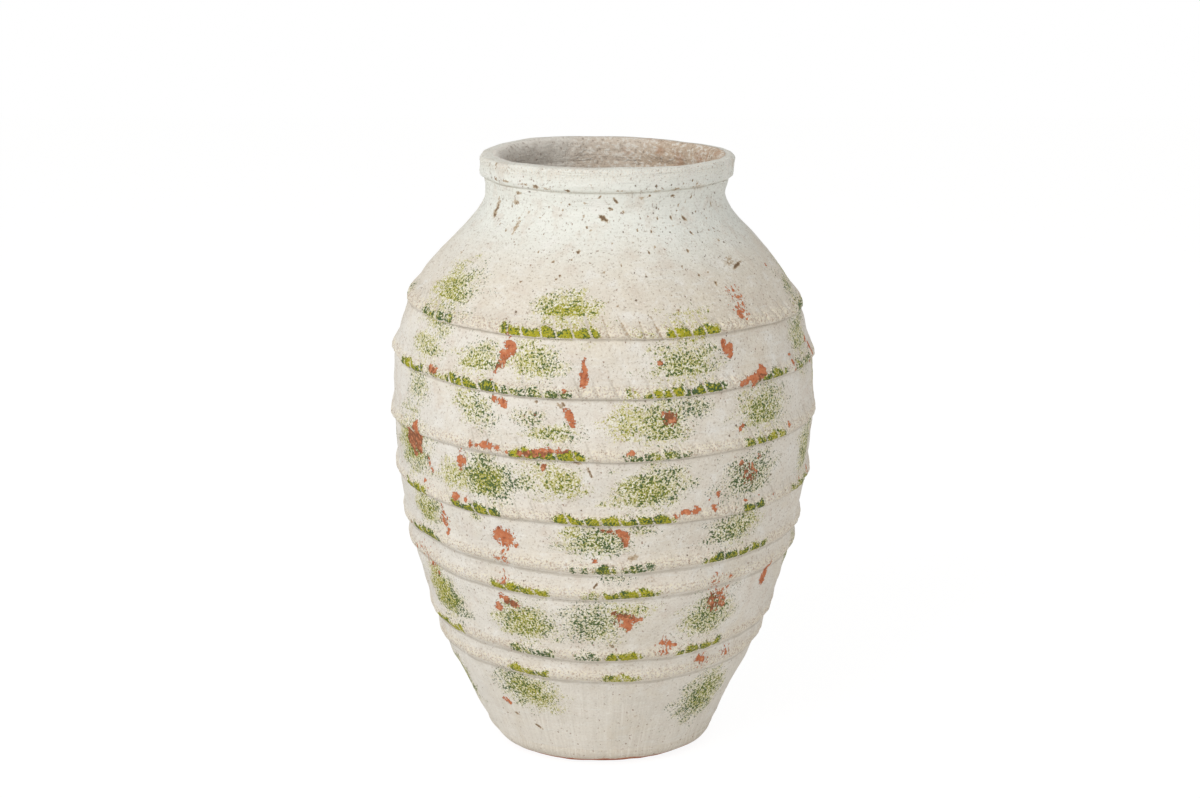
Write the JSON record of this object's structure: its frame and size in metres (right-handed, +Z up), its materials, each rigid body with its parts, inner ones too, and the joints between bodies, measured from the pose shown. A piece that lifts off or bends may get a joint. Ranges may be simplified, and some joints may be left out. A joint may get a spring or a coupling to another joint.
{
  "type": "clay jar",
  "caption": "Large hand-built clay storage jar with an open mouth, rolled rim, full belly, narrow flat foot and applied cordons over the joints of its wall; lime-washed, with green sponge dabs.",
  "frame": {"origin": "centre of the flat foot, where the jar stands", "axes": "+Z up along the jar's axis of turning; -Y towards the front, +X to the right as seen from the front"},
  "size_m": [0.4888, 0.4888, 0.68],
  "materials": {
    "lime_wash": "matt, chalky lime wash over fired clay, with green sponge dabs and chips down to the clay",
    "cordon_wash": "matt, chalky lime wash over pressed cordons, green between the grooves",
    "rim_wash": "matt, chalky lime wash, worn and pitted along the edges",
    "bare_clay": "matt, bare fired terracotta, dusty"
  },
  "bodies": {
    "root": {"base_disc": "bare_clay", "foot_section": "lime_wash", "lower_section": "lime_wash", "belly_section": "lime_wash", "upper_belly_section": "lime_wash", "upper_section": "lime_wash", "shoulder_section": "lime_wash", "collar_section": "lime_wash", "neck_ring": "lime_wash", "rim_coil": "rim_wash", "cordon_1": "cordon_wash", "cordon_2": "cordon_wash", "cordon_3": "cordon_wash", "cordon_4": "cordon_wash", "cordon_5": "cordon_wash", "cordon_6": "cordon_wash", "cordon_7": "cordon_wash", "cordon_8": "cordon_wash"}
  },
  "joints": []
}
